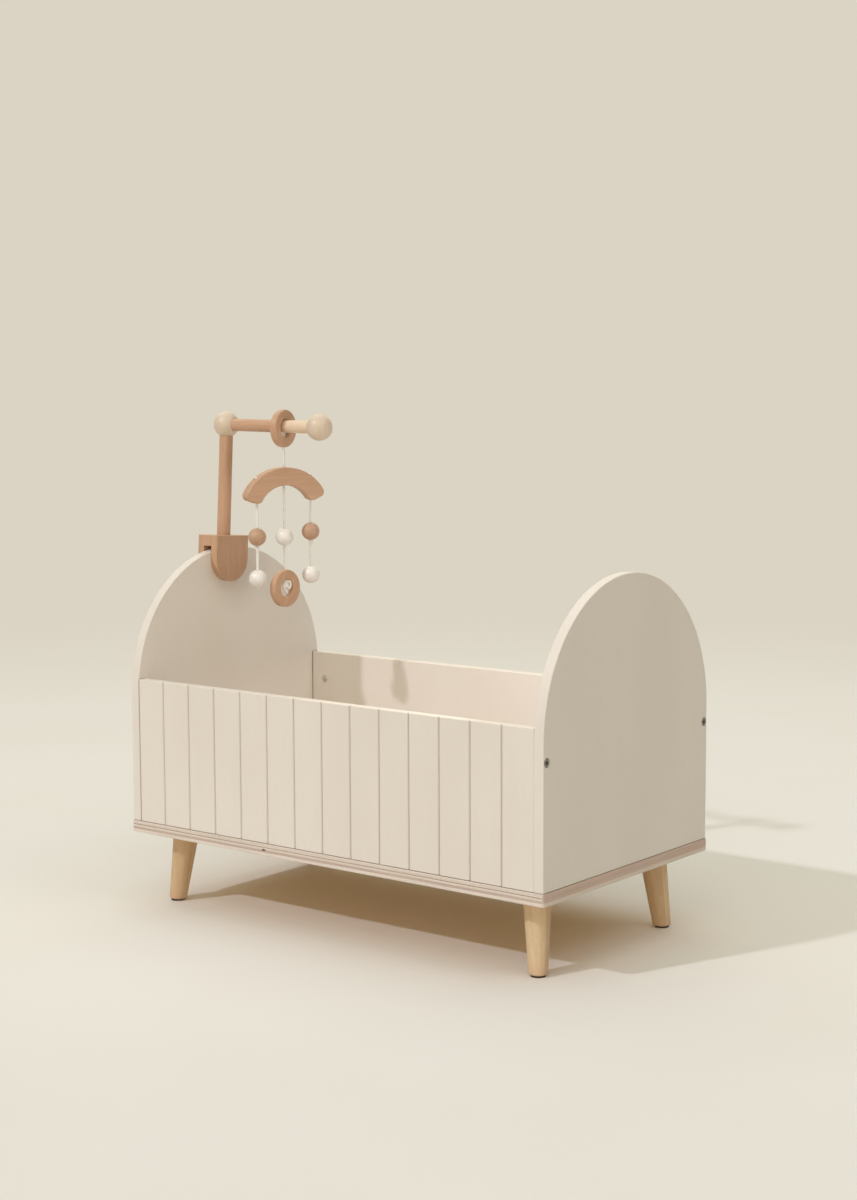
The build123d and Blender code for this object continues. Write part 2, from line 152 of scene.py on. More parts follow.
# ------------------------------------------------------------------ materials
class Graph(NodeTree):
    """A material's nodes, with short calls for what the finishes share."""

    family = "ShaderNode"

    def __init__(self, name: str) -> None:
        """Start a material whose only shader is a Principled BSDF.

        Args:
            name: the material's name.
        """
        self.material = bpy.data.materials.new(name)
        self.material.use_nodes = True
        super().__init__(self.material.node_tree)
        self.shader = next(n for n in self.tree.nodes if n.type == "BSDF_PRINCIPLED")

    def set(self, **values) -> None:
        """Set or link the shader's own inputs.

        Args:
            values: each input's name, with an underscore for a space, and its value or socket.
        """
        for key, value in values.items():
            socket = self.shader.inputs[key.replace("_", " ")]
            if isinstance(value, bpy.types.NodeSocket):
                self.tree.links.new(value, socket)
            else:
                socket.default_value = value

    def object_point(self) -> Socket:
        """Object coordinates, in metres."""
        return self.add("TexCoord").outputs["Object"]

    def grain_point(self, centre: Vector, axis: Vector) -> Socket:
        """Object coordinates in millimetres from a centre, turned so that +Z is along an axis.

        Args:
            centre: the middle of the piece, in metres.
            axis: the way its grain runs.

        Returns:
            The point's socket.
        """
        turn = Vector((0, 0, 1)).rotation_difference(axis).to_euler()
        local = self.add("Mapping", {"Vector": self.object_point(), "Location": centre, "Rotation": turn},
                         vector_type="TEXTURE").outputs[0]
        return self.add("VectorMath", {0: local, "Scale": 1 / MM}, operation="SCALE").outputs[0]

    def stretch(self, vector: Socket, scale: tuple[float, float, float]) -> Socket:
        """The vector with each of its parts times a number."""
        return self.add("VectorMath", {0: vector, 1: scale}, operation="MULTIPLY").outputs[0]

    def noise(self, vector: Socket, scale: float | tuple[float, float, float], detail: float = 3.0,
              rough: float = 0.55) -> Socket:
        """Cloudy noise.

        Args:
            vector: where it is read.
            scale: one number, or one for each of X, Y and Z.
            detail: how many finer layers it has.
            rough: how strong the finer layers are.

        Returns:
            A value from 0 to 1.
        """
        if isinstance(scale, tuple):
            vector = self.stretch(vector, scale)
            scale = 1.0
        return self.add("TexNoise", {"Vector": vector, "Scale": scale, "Detail": detail,
                                     "Roughness": rough}).outputs["Fac"]

    def weigh(self, a: Socket, share_a: float, b: Socket, share_b: float) -> Socket:
        """The sum of two values, each times its share."""
        return self.calc("ADD", self.calc("MULTIPLY", a, share_a), self.calc("MULTIPLY", b, share_b))

    def part(self, vector: Socket, letter: str) -> Socket:
        """The X, Y or Z part of a vector."""
        return self.add("SeparateXYZ", {0: vector}).outputs[letter]

    def between(self, value: Socket, low: float, high: float, to_low: float = 0.0,
                to_high: float = 1.0) -> Socket:
        """The value moved smoothly from one range to another, and held at its ends."""
        return self.add("MapRange", {0: value, 1: low, 2: high, 3: to_low, 4: to_high},
                        interpolation_type="SMOOTHSTEP").outputs[0]

    def ramp(self, value: Socket, stops: list[tuple[float, Colour]]) -> Socket:
        """A colour ramp.

        Args:
            value: the place on the ramp, from 0 to 1.
            stops: places on the ramp, in order, with their colours.

        Returns:
            The colour at that place.
        """
        node = self.add("ValToRGB", {"Fac": value})
        while len(node.color_ramp.elements) < len(stops):
            node.color_ramp.elements.new(0.5)
        for element, (place, colour) in zip(node.color_ramp.elements, stops):
            element.position = place
            element.color = (*colour, 1)
        return node.outputs["Color"]

    def mix(self, share: Socket | float, a: Socket | Colour, b: Socket | Colour,
            blend: str = "MIX") -> Socket:
        """Two colours mixed; each may be a socket or three numbers.

        Args:
            share: how much of the second one there is.
            a: the first colour.
            b: the second colour.
            blend: the way they are mixed.

        Returns:
            The mixed colour.
        """
        node = self.add("Mix", {0: share}, data_type="RGBA", blend_type=blend)
        for number, value in ((6, a), (7, b)):
            if isinstance(value, bpy.types.NodeSocket):
                self.tree.links.new(value, node.inputs[number])
            else:
                node.inputs[number].default_value = (*value, 1)
        return node.outputs[2]

    def bump(self, height: Socket, depth_mm: float) -> None:
        """Give the shader a bump whose full height is a depth in millimetres."""
        node = self.add("Bump", {"Height": height, "Distance": depth_mm * MM, "Strength": 1.0})
        self.tree.links.new(node.outputs[0], self.shader.inputs["Normal"])


@dataclass(frozen=True)
class WoodFinish:
    """A clear-finished wood, with growth rings, fibres, ray flecks and pores along its grain."""

    name: str
    light: Colour
    dark: Colour
    fleck: Colour
    ring_gap: float
    ring_share: float
    fleck_share: float = 0.5
    roughness: float = 0.46
    pore_depth: float = 0.05
    coat: float = 0.15
    lamination: float = 0.0
    end_tint: Colour = (0.80, 0.64, 0.47)

    def material(self, label: str, centre: Vector, axis: Vector, pith: Pair = (38.0, 21.0),
                 tint: tuple[float, float, float] | None = None) -> bpy.types.Material:
        """The material of one piece.

        Args:
            label: the piece's name.
            centre: the middle of the piece, in metres.
            axis: the way its grain runs.
            pith: where the tree's middle would be, across the grain, in millimetres.
            tint: where the end tint starts and is full, along the grain in millimetres, and its share.

        Returns:
            The material.
        """
        g = Graph(f"{self.name}_{label}")
        point = g.grain_point(centre, axis)
        wander = g.noise(point, (0.05, 0.05, 0.012), 2.0)
        across = g.add("VectorMath", {0: point, 1: (pith[0], pith[1], 0)}, operation="ADD").outputs[0]
        flat = g.stretch(across, (1, 1, 0))
        distance = g.add("VectorMath", {0: flat}, operation="LENGTH").outputs["Value"]
        rings = g.weigh(distance, 1 / self.ring_gap, wander, 5.0)
        late = g.calc("POWER", g.calc("FRACT", rings), 2.2)
        fibre = g.noise(point, (1.5, 1.5, 0.06), 4.0, 0.6)
        streak = g.noise(point, (0.32, 0.32, 0.008), 2.0)
        fibre_share = 0.5 * (1 - self.ring_share) + 0.2
        tone = g.weigh(late, self.ring_share, g.calc("ADD", fibre, streak), fibre_share)
        colour = g.mix(g.between(tone, 0.18, 0.85), self.light, self.dark)
        cells = g.add("TexVoronoi", {"Vector": g.stretch(point, (1.25, 1.25, 0.34)), "Scale": 1.0})
        patchy = g.between(g.noise(point, (0.4, 0.4, 0.1)), 0.38, 0.6)
        fleck = g.calc("MULTIPLY", g.between(cells.outputs["Distance"], 0.30, 0.16), patchy)
        colour = g.mix(g.calc("MULTIPLY", fleck, self.fleck_share), colour, self.fleck)
        if self.lamination:
            seam = g.weigh(g.part(point, "X"), 1.0, g.part(point, "Y"), 0.25)
            side = g.between(seam, 1.6, 2.0)
            glue = g.calc("MULTIPLY", side, g.between(seam, 2.4, 2.0))
            darker = tuple(1 - self.lamination * k for k in (0.8, 1.1, 1.4))
            colour = g.mix(side, colour, g.mix(1.0, colour, darker, "MULTIPLY"))
            colour = g.mix(g.calc("MULTIPLY", glue, 0.35), colour, self.fleck)
        if tint:
            reach = g.weigh(g.part(point, "Z"), 1.0, g.calc("SUBTRACT", streak, 0.5), 8.0)
            colour = g.mix(g.between(reach, tint[0], tint[1], 0.0, tint[2]), colour, self.end_tint)
        g.set(Base_Color=colour, Coat_Weight=self.coat, Coat_Roughness=0.35, Specular_IOR_Level=0.4,
              Roughness=g.between(fibre, 0.3, 0.75, self.roughness - 0.06, self.roughness + 0.1))
        g.bump(g.weigh(fibre, 0.6, fleck, -0.4), self.pore_depth)
        return g.material


@dataclass(frozen=True)
class PanelFinish:
    """Cream lacquer sprayed on smooth board: faint mottle and orange peel, with painted shade in the
    grooves and painted shadow lines along the joints.
    """

    name: str = "cream_lacquer"
    cream: Colour = (0.765, 0.705, 0.635)
    warm: Colour = (0.735, 0.67, 0.595)
    # groove_shade: the colour of the painted shade in the grooves' bottoms.
    groove_shade: Colour = (0.48, 0.40, 0.33)
    # joint_shadow: painted shadow lines in the hairline gaps where a panel meets the base and the next
    # panel.
    joint_shadow: Colour = (0.20, 0.13, 0.09)
    roughness: float = 0.42
    shadow_line_height: float = 0.55 * MM

    def material(self, label: str, groove_from: float | None = None, end_joint: float | None = None,
                 ) -> bpy.types.Material:
        """The material of one panel.

        Args:
            label: the piece's name.
            groove_from: how far out along Y the bottoms of the grooves lie, where it has any.
            end_joint: the X of an end that meets another panel, where a painted shadow line marks the
                joint.

        Returns:
            The material.
        """
        g = Graph(f"{self.name}_{label}")
        point = g.object_point()
        broad = g.noise(point, (9, 9, 4), 2.0)
        fine = g.noise(point, (420, 420, 60), 3.0)
        colour = g.mix(g.between(g.weigh(broad, 0.8, fine, 0.2), 0.35, 0.68), self.cream, self.warm)
        if groove_from is not None:
            out = g.calc("ABSOLUTE", g.part(point, "Y"))
            level = g.calc("ABSOLUTE", g.part(g.add("NewGeometry").outputs["Normal"], "Z"))
            deep = g.between(out, groove_from + 1.1 * MM, groove_from + 0.1 * MM)
            inside = g.between(out, groove_from - 0.4 * MM, groove_from - 0.2 * MM)
            mask = g.calc("MULTIPLY", g.calc("MULTIPLY", deep, inside), g.between(level, 0.5, 0.3))
            # Painted shade: the grooves' bottoms are darkened towards groove_shade.
            colour = g.mix(g.calc("MULTIPLY", mask, 0.8), colour, self.groove_shade)
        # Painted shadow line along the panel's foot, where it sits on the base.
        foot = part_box(label)[0].z
        shade_top = foot + self.shadow_line_height
        low = g.between(g.part(point, "Z"), shade_top + 0.1 * MM, shade_top)
        colour = g.mix(g.calc("MULTIPLY", low, 0.8), colour, self.joint_shadow)
        if end_joint is not None:
            # Painted shadow line at the end that meets the next panel.
            gap = g.calc("ABSOLUTE", g.calc("SUBTRACT", g.part(point, "X"), end_joint))
            colour = g.mix(g.between(gap, 1.5 * MM, 1.2 * MM, 0.0, 0.85), colour, self.joint_shadow)
        g.set(Base_Color=colour, Coat_Weight=0.2, Coat_Roughness=0.28, Specular_IOR_Level=0.45,
              Roughness=g.between(fine, 0.3, 0.7, self.roughness - 0.05, self.roughness + 0.08))
        peel = g.noise(point, 650.0, 2.0)
        g.bump(g.weigh(peel, 0.5, fine, 0.5), 0.03)
        return g.material


@dataclass(frozen=True)
class PlywoodFinish:
    """Plywood with pale lacquered faces, whose cut edges show plies by turns along and across the grain."""

    name: str = "birch_plywood"
    face: Colour = (0.79, 0.715, 0.635)
    underside: Colour = (0.86, 0.55, 0.25)
    pale: Colour = (0.76, 0.68, 0.60)
    cream: Colour = (0.72, 0.635, 0.55)
    rosy: Colour = (0.57, 0.45, 0.385)
    brown: Colour = (0.62, 0.475, 0.39)
    # glue: the glue lines between plies; also the colour of the painted shadow line round the panels' feet.
    glue: Colour = (0.33, 0.24, 0.19)
    # shaded_void: near-black painted shade inside a real void in a core ply.
    shaded_void: Colour = (0.10, 0.07, 0.05)
    void_at: Pair = (-0.0725, 0.47)
    void_size: Pair = (2.4 * MM, 0.10)
    panels: Pair = (0.248, 0.135)

    def material(self, low: float, high: float) -> bpy.types.Material:
        """The base's material.

        Args:
            low: the height of the base's lower face.
            high: the height of its upper face.

        Returns:
            The material, with its plies shared out between the two heights.
        """
        g = Graph(self.name)
        point = g.object_point()
        normal = g.add("NewGeometry").outputs["Normal"]
        end_face = g.between(g.calc("ABSOLUTE", g.part(normal, "X")), 0.4, 0.6)
        flat = g.between(g.calc("ABSOLUTE", g.part(normal, "Z")), 0.8, 0.95)
        waver = g.noise(point, (14, 14, 40), 3.0)
        height = g.add("MapRange", {0: g.part(point, "Z"), 1: low, 2: high}).outputs[0]
        ply = g.calc("ADD", height, g.calc("MULTIPLY", g.calc("SUBTRACT", waver, 0.5), 0.06))
        sides = g.ramp(ply, [(0.0, self.pale), (0.26, self.pale), (0.30, self.rosy), (0.47, self.rosy),
                             (0.51, self.cream), (0.655, self.pale), (0.665, self.glue), (0.70, self.glue),
                             (0.71, self.rosy), (0.75, self.cream), (1.0, self.cream)])
        ends = g.ramp(ply, [(0.0, self.cream), (0.30, self.cream), (0.35, self.brown), (0.52, self.brown),
                            (0.56, self.rosy), (0.66, self.rosy), (0.69, self.brown), (1.0, self.brown)])
        edge = g.mix(end_face, sides, ends)
        streak = g.add("Mix", {0: end_face, 2: g.noise(point, (16, 900, 1100), 3.0),
                               3: g.noise(point, (900, 16, 1100), 3.0)}).outputs[0]
        pore = g.noise(point, (900, 900, 1400), 2.0)
        tone = g.weigh(streak, 0.6, pore, 0.4)
        edge = g.mix(g.between(tone, 0.35, 0.72, 0.0, 0.5), edge, (0.62, 0.55, 0.50), "MULTIPLY")
        squares = []
        for value, place, size in zip((g.part(point, "X"), height), self.void_at, self.void_size):
            off = g.calc("DIVIDE", g.calc("SUBTRACT", value, place), size)
            squares.append(g.calc("POWER", g.calc("ABSOLUTE", off), 2.0))
        spot = g.between(g.calc("ADD", *squares), 1.1, 0.7)
        # A real void on the front edge; its near-black is painted shade inside the hollow.
        shaded_void = g.calc("MULTIPLY", spot, g.calc("LESS_THAN", g.part(point, "Y"), 0.0))
        edge = g.mix(g.calc("MULTIPLY", shaded_void, 0.92), edge, self.shaded_void)
        grain = g.between(g.noise(point, (10, 160, 160), 4.0), 0.35, 0.7)
        above = g.mix(grain, self.face, tuple(0.9 * c for c in self.face))
        # Painted shadow line on the base's top, just round the panels' feet, in the glue colour.
        past = [g.calc("SUBTRACT", g.calc("ABSOLUTE", g.part(point, letter)), half)
                for letter, half in zip("XY", self.panels)]
        beyond = g.calc("MAXIMUM", *past)
        seam = g.calc("MULTIPLY", g.between(beyond, 0.8 * MM, 0.55 * MM),
                      g.between(beyond, -0.7 * MM, -0.5 * MM))
        above = g.mix(g.calc("MULTIPLY", seam, 0.75), above, self.glue)
        below = g.mix(grain, self.underside, tuple(0.8 * c for c in self.underside))
        faces = g.mix(g.between(g.part(normal, "Z"), -0.1, 0.1), below, above)
        g.set(Base_Color=g.mix(flat, edge, faces), Specular_IOR_Level=0.35,
              Roughness=g.between(pore, 0.3, 0.7, 0.5, 0.66))
        g.bump(g.weigh(tone, 0.7, shaded_void, -2.0), 0.10)
        return g.material


@dataclass(frozen=True)
class LacquerFinish:
    """Opaque white lacquer dipped over a turned wooden bead."""

    name: str = "white_bead_lacquer"
    white: Colour = (0.83, 0.79, 0.74)
    shade: Colour = (0.77, 0.72, 0.66)

    def material(self) -> bpy.types.Material:
        """Make the lacquer.

        Returns:
            The white beads' material.
        """
        g = Graph(self.name)
        point = g.object_point()
        cloud = g.noise(point, 160.0, 3.0)
        grain = g.noise(point, (900, 900, 90), 3.0)
        g.set(Base_Color=g.mix(g.between(cloud, 0.35, 0.7), self.white, self.shade), Coat_Weight=0.3,
              Coat_Roughness=0.22, Roughness=g.between(grain, 0.3, 0.7, 0.36, 0.46))
        g.bump(g.weigh(cloud, 0.5, grain, 0.5), 0.04)
        return g.material


@dataclass(frozen=True)
class CottonFinish:
    """Off-white spun cotton: fine fibres on each strand, and soft darker blotches at random."""

    name: str = "cotton"
    white: Colour = (0.93, 0.905, 0.86)
    shade: Colour = (0.80, 0.76, 0.69)

    def material(self) -> bpy.types.Material:
        """Make the cotton.

        Returns:
            The cords' and knots' material.
        """
        g = Graph(self.name)
        point = g.object_point()
        fibre = g.noise(point, (3200, 3200, 1400), 3.0, 0.7)
        soil = g.noise(point, 240.0, 2.0)
        tone = g.between(g.weigh(fibre, 0.6, soil, 0.4), 0.35, 0.72)
        g.set(Base_Color=g.mix(tone, self.white, self.shade), Roughness=0.9,
              Sheen_Weight=0.25, Sheen_Roughness=0.5, Specular_IOR_Level=0.2)
        g.bump(fibre, 0.12)
        return g.material


@dataclass(frozen=True)
class MetalFinish:
    """Plated or burnished steel, with fine turning marks and uneven gloss."""

    name: str
    colour: Colour
    worn: Colour
    roughness: float
    metallic: float = 1.0

    def material(self) -> bpy.types.Material:
        """Make the metal.

        Returns:
            The fasteners' material.
        """
        g = Graph(self.name)
        point = g.object_point()
        cloud = g.noise(point, 700.0, 3.0)
        marks = g.noise(point, (300, 2600, 2600), 2.0)
        g.set(Base_Color=g.mix(g.between(cloud, 0.4, 0.75), self.colour, self.worn), Metallic=self.metallic,
              Roughness=g.between(marks, 0.3, 0.7, self.roughness - 0.08, self.roughness + 0.1))
        g.bump(marks, 0.02)
        return g.material


@dataclass(frozen=True)
class GlideFinish:
    """Dark moulded nylon, scuffed where it slides on the floor."""

    name: str = "dark_nylon"
    dark: Colour = (0.060, 0.034, 0.020)
    scuffed: Colour = (0.13, 0.09, 0.065)

    def material(self) -> bpy.types.Material:
        """Make the nylon.

        Returns:
            The glides' material.
        """
        g = Graph(self.name)
        point = g.object_point()
        low = g.between(g.part(point, "Z"), 1.0 * MM, 0.1 * MM)
        scuff = g.calc("MULTIPLY", g.between(g.noise(point, 900.0, 4.0), 0.45, 0.7), low)
        g.set(Base_Color=g.mix(scuff, self.dark, self.scuffed), Roughness=0.8, Specular_IOR_Level=0.2)
        g.bump(g.noise(point, 1800.0, 2.0), 0.05)
        return g.material


BEECH = WoodFinish("beech", light=(0.64, 0.40, 0.247), dark=(0.51, 0.30, 0.183), fleck=(0.32, 0.17, 0.10),
                   ring_gap=4.2, ring_share=0.15)
BEAD_BEECH = WoodFinish("bead_beech", light=(0.60, 0.385, 0.255), dark=(0.47, 0.285, 0.185),
                        fleck=(0.30, 0.17, 0.105), ring_gap=3.0, ring_share=0.25, fleck_share=0.45)
MAPLE = WoodFinish("maple", light=(0.715, 0.595, 0.465), dark=(0.64, 0.51, 0.385), fleck=(0.55, 0.41, 0.28),
                   ring_gap=3.4, ring_share=0.25, fleck_share=0.2, roughness=0.40, coat=0.3)
LEG_WOOD = WoodFinish("leg_wood", light=(0.76, 0.605, 0.395), dark=(0.665, 0.485, 0.29),
                      fleck=(0.50, 0.34, 0.19), ring_gap=6.0, ring_share=0.22, fleck_share=0.15,
                      roughness=0.5, lamination=0.16, end_tint=(0.66, 0.40, 0.27))
PANEL = PanelFinish()
PLYWOOD = PlywoodFinish()
ZINC = MetalFinish("zinc_plate", (0.74, 0.72, 0.68), (0.60, 0.57, 0.53), 0.42)
DARK_STEEL = MetalFinish("burnished_steel", (0.20, 0.185, 0.17), (0.34, 0.32, 0.30), 0.36)


# ------------------------------------------------------------------ geometry nodes
class GeoTree(NodeTree):
    """A Geometry Nodes tree with named inputs."""

    family = "GeometryNode"

    def __init__(self, name: str, **inputs: tuple[str, object]) -> None:
        """Start a tree.

        Args:
            name: the tree's name.
            inputs: each named input's socket type, without its "NodeSocket" start, and its value.
        """
        super().__init__(bpy.data.node_groups.new(name, "GeometryNodeTree"))
        face = self.tree.interface
        face.new_socket("Geometry", in_out="INPUT", socket_type="NodeSocketGeometry")
        face.new_socket("Geometry", in_out="OUTPUT", socket_type="NodeSocketGeometry")
        self.keys: dict[str, str] = {}
        for label, (kind, value) in inputs.items():
            socket = face.new_socket(label, in_out="INPUT", socket_type="NodeSocket" + kind)
            if value is not None:
                socket.default_value = value
            self.keys[label] = socket.identifier
        self.source = self.add("NodeGroupInput")
        self.result = self.add("NodeGroupOutput")

    def value(self, label: str) -> Socket:
        """The socket of a named input."""
        return self.source.outputs[label]

    def vector(self, operation: str, a: Socket, b: Socket) -> Socket:
        """A Vector Math node's result; where the operation is SCALE, b is the scale."""
        place = "Scale" if operation == "SCALE" else 1
        return self.add("ShaderNodeVectorMath", {0: a, place: b}, operation=operation).outputs[0]

    def finish(self, geometry: Socket) -> None:
        """End the tree: real geometry, with the material that the input Finish names.

        Args:
            geometry: what the tree has made so far.
        """
        real = self.add("RealizeInstances", {"Geometry": geometry}).outputs[0]
        dressed = self.add("SetMaterial", {"Geometry": real, "Material": self.value("Finish")})
        self.tree.links.new(dressed.outputs[0], self.result.inputs[0])

    def run(self, host: bpy.types.Object, **values) -> bpy.types.Object:
        """Run the tree on a host and bake what it makes.

        Args:
            host: the object whose mesh the tree starts from; its mesh is replaced.
            values: values for the named inputs.

        Returns:
            The host, with a plain mesh and no modifier.
        """
        modifier = host.modifiers.new(self.tree.name, "NODES")
        modifier.node_group = self.tree
        for label, value in values.items():
            modifier[self.keys[label]] = value
        bpy.context.view_layer.update()
        made = bpy.data.meshes.new_from_object(host.evaluated_get(bpy.context.evaluated_depsgraph_get()))
        host.modifiers.clear()
        host.data = made
        return host


def twist_tree() -> GeoTree:
    """A tree that lays twisted strands round a polyline, as a rope-maker does.

    Returns:
        The tree, whose inputs are the number of strands and the rope's radius, lay and finish.
    """
    t = GeoTree("twisted_strands", Strands=("Int", 3), Radius=("Float", 1.2 * MM), Lay=("Float", 7 * MM),
                Sides=("Int", 10), Finish=("Material", None))
    path = t.add("MeshToCurve", {"Mesh": t.value("Geometry")}).outputs[0]
    copies = t.add("DuplicateElements", {"Geometry": path, "Amount": t.value("Strands")}, domain="SPLINE")
    along = t.add("SplineParameter").outputs["Length"]
    place = t.calc("ADD", t.calc("DIVIDE", along, t.value("Lay")),
                   t.calc("DIVIDE", copies.outputs["Duplicate Index"], t.value("Strands")))
    angle = t.calc("MULTIPLY", place, 2 * math.pi)
    normal = t.add("InputNormal").outputs[0]
    side = t.vector("CROSS_PRODUCT", t.add("InputTangent").outputs[0], normal)
    out = t.vector("ADD", t.vector("SCALE", normal, t.calc("COSINE", angle)),
                   t.vector("SCALE", side, t.calc("SINE", angle)))
    step = t.vector("SCALE", out, t.calc("MULTIPLY", t.value("Radius"), 0.5))
    strands = t.add("SetPosition", {"Geometry": copies.outputs[0], "Offset": step}).outputs[0]
    profile = t.add("CurvePrimitiveCircle", {
        "Resolution": t.value("Sides"), "Radius": t.calc("MULTIPLY", t.value("Radius"), 0.55)}).outputs[0]
    tube = t.add("CurveToMesh", {"Curve": strands, "Profile Curve": profile, "Fill Caps": True})
    t.finish(t.add("SetShadeSmooth", {"Geometry": tube.outputs[0]}).outputs[0])
    return t


def socket_bolt_tree() -> GeoTree:
    """A tree that puts a socket-head bolt at every point, its head towards the point's "way".

    Returns:
        The tree, whose inputs are the bolt's sizes and its finish.
    """
    t = GeoTree("socket_bolts", Head=("Float", 8 * MM), Head_Height=("Float", 2.4 * MM),
                Edge=("Float", 0.5 * MM), Shank=("Float", 4 * MM), Length=("Float", 32 * MM),
                Socket=("Float", 3 * MM), Socket_Depth=("Float", 1.6 * MM), Finish=("Material", None))

    def cone(low: Socket, high: Socket, depth: Socket, z: Socket, sides: int = 48) -> Socket:
        """A cone or a cylinder.

        Args:
            low: its radius at the foot.
            high: its radius at the top.
            depth: its height.
            z: where its foot is.
            sides: how many sides it has.

        Returns:
            Its mesh.
        """
        made = t.add("MeshCone", {"Vertices": sides, "Radius Bottom": low, "Radius Top": high,
                                  "Depth": depth}).outputs["Mesh"]
        lift = t.add("ShaderNodeCombineXYZ", {"Z": z}).outputs[0]
        return t.add("Transform", {"Geometry": made, "Translation": lift}).outputs[0]

    radius = t.calc("DIVIDE", t.value("Head"), 2.0)
    inner = t.calc("SUBTRACT", radius, t.value("Edge"))
    skirt = t.calc("SUBTRACT", t.value("Head_Height"), t.value("Edge"))
    base = t.calc("MULTIPLY", t.value("Head_Height"), -1.0)
    shank = t.calc("DIVIDE", t.value("Shank"), 2.0)
    bolt = t.add("MeshBoolean", {"Mesh 2": [
        cone(radius, radius, skirt, base),
        cone(radius, inner, t.value("Edge"), t.calc("MULTIPLY", t.value("Edge"), -1.0)),
        cone(shank, shank, t.value("Length"), t.calc("MULTIPLY", t.value("Length"), -1.0))]},
        operation="UNION", solver="EXACT").outputs[0]
    corner = t.calc("DIVIDE", t.value("Socket"), math.sqrt(3))
    hexagon = cone(corner, corner, t.calc("MULTIPLY", t.value("Socket_Depth"), 2.0),
                   t.calc("MULTIPLY", t.value("Socket_Depth"), -1.0), 6)
    bolt = t.add("MeshBoolean", {"Mesh 1": bolt, "Mesh 2": hexagon}, operation="DIFFERENCE",
                 solver="EXACT").outputs[0]
    way = t.add("InputNamedAttribute", {"Name": "way"}, data_type="FLOAT_VECTOR").outputs[0]
    turn = t.add("FunctionNodeAlignRotationToVector", {"Vector": way}, axis="Z").outputs[0]
    t.finish(t.add("InstanceOnPoints", {"Points": t.value("Geometry"), "Instance": bolt,
                                        "Rotation": turn}).outputs[0])
    return t


# ------------------------------------------------------------------ meshes
def new_object(name: str, mesh: bpy.types.Mesh) -> bpy.types.Object:
    """A new object at the origin that shows a mesh.

    Args:
        name: the object's name.
        mesh: the mesh that it shows.

    Returns:
        The object, in the scene.
    """
    piece = bpy.data.objects.new(name, mesh)
    bpy.context.scene.collection.objects.link(piece)
    return piece


def dress(piece: bpy.types.Object, material: bpy.types.Material) -> None:
    """Give every face of a piece one material.

    Args:
        piece: the piece.
        material: its new material.
    """
    if piece.data.materials:
        for number in range(len(piece.data.materials)):
            piece.data.materials[number] = material
    else:
        piece.data.materials.append(material)


def stand_for(piece: bpy.types.Object, node: str, body: str) -> None:
    """Let a new piece stand for a CAD node.

    Args:
        piece: the new piece.
        node: the CAD node's name.
        body: the body that it moves with.
    """
    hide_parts(node)
    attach(piece, body)


def nth_pith(number: int, first: Pair, step: Pair) -> Pair:
    """The pith of one piece of several, each a step further from the first one's."""
    return first[0] + step[0] * number, first[1] + step[1] * number


def polyline(name: str, points: np.ndarray, closed: bool = False) -> bpy.types.Object:
    """An object whose mesh is one chain of edges.

    Args:
        name: the object's name.
        points: one row for each point.
        closed: whether the last point joins the first.

    Returns:
        The object.
    """
    count = len(points)
    edges = [(i, (i + 1) % count) for i in range(count if closed else count - 1)]
    mesh = bpy.data.meshes.new(name)
    mesh.from_pydata([tuple(p) for p in points], edges, [])
    return new_object(name, mesh)


def lathe(name: str, profile: list[Pair], centre: Vector, axis: Vector,
          steps: int = 72) -> bpy.types.Object:
    """A turned piece: a closed outline swept round an axis.

    Args:
        name: the piece's name.
        profile: (radius, height) points of a closed outline.
        centre: where the outline's height is nought.
        axis: the way that height runs.
        steps: faces round the piece.

    Returns:
        The turned piece, with its faces outwards.
    """
    build = bmesh.new()
    turn = Vector((0, 0, 1)).rotation_difference(axis)
    rings = []
    for step in range(steps):
        angle = 2 * math.pi * step / steps
        ring = [build.verts.new(centre + turn @ Vector((r * math.cos(angle), r * math.sin(angle), h)))
                for r, h in profile]
        rings.append(ring)
    for step in range(steps):
        here, there = rings[step], rings[(step + 1) % steps]
        for i in range(len(profile)):
            j = (i + 1) % len(profile)
            build.faces.new((here[i], there[i], there[j], here[j]))
    bmesh.ops.recalc_face_normals(build, faces=build.faces)
    mesh = bpy.data.meshes.new(name)
    build.to_mesh(mesh)
    build.free()
    mesh.shade_smooth()
    return new_object(name, mesh)


def join(name: str, pieces: list[bpy.types.Object]) -> bpy.types.Object:
    """One object that holds the meshes of several, which are removed.

    Args:
        name: the new piece's name.
        pieces: the pieces, which share their materials.

    Returns:
        The new piece.
    """
    build = bmesh.new()
    for piece in pieces:
        build.from_mesh(piece.data)
    mesh = bpy.data.meshes.new(name)
    build.to_mesh(mesh)
    build.free()
    for material in pieces[0].data.materials:
        mesh.materials.append(material)
    mesh.shade_smooth()
    for piece in pieces:
        bpy.data.objects.remove(piece)
    return new_object(name, mesh)


def smooth_line(points: list[Vector], steps: int = 24) -> np.ndarray:
    """The points along the NURBS spline that a list of control points makes.

    Args:
        points: the control points, three or more.
        steps: how finely the spline is drawn between two of them.

    Returns:
        One row for each point.
    """
    curve = bpy.data.curves.new("route", "CURVE")
    curve.dimensions = "3D"
    spline = curve.splines.new("NURBS")
    spline.points.add(len(points) - 1)
    for place, point in zip(spline.points, points):
        place.co = (*point, 1)
    spline.order_u = 3
    spline.use_endpoint_u = True
    spline.resolution_u = steps
    route = bpy.data.objects.new("route", curve)
    mesh = bpy.data.meshes.new_from_object(route)
    line = np.array([v.co for v in mesh.vertices], float)
    bpy.data.objects.remove(route)
    bpy.data.meshes.remove(mesh)
    bpy.data.curves.remove(curve)
    return line


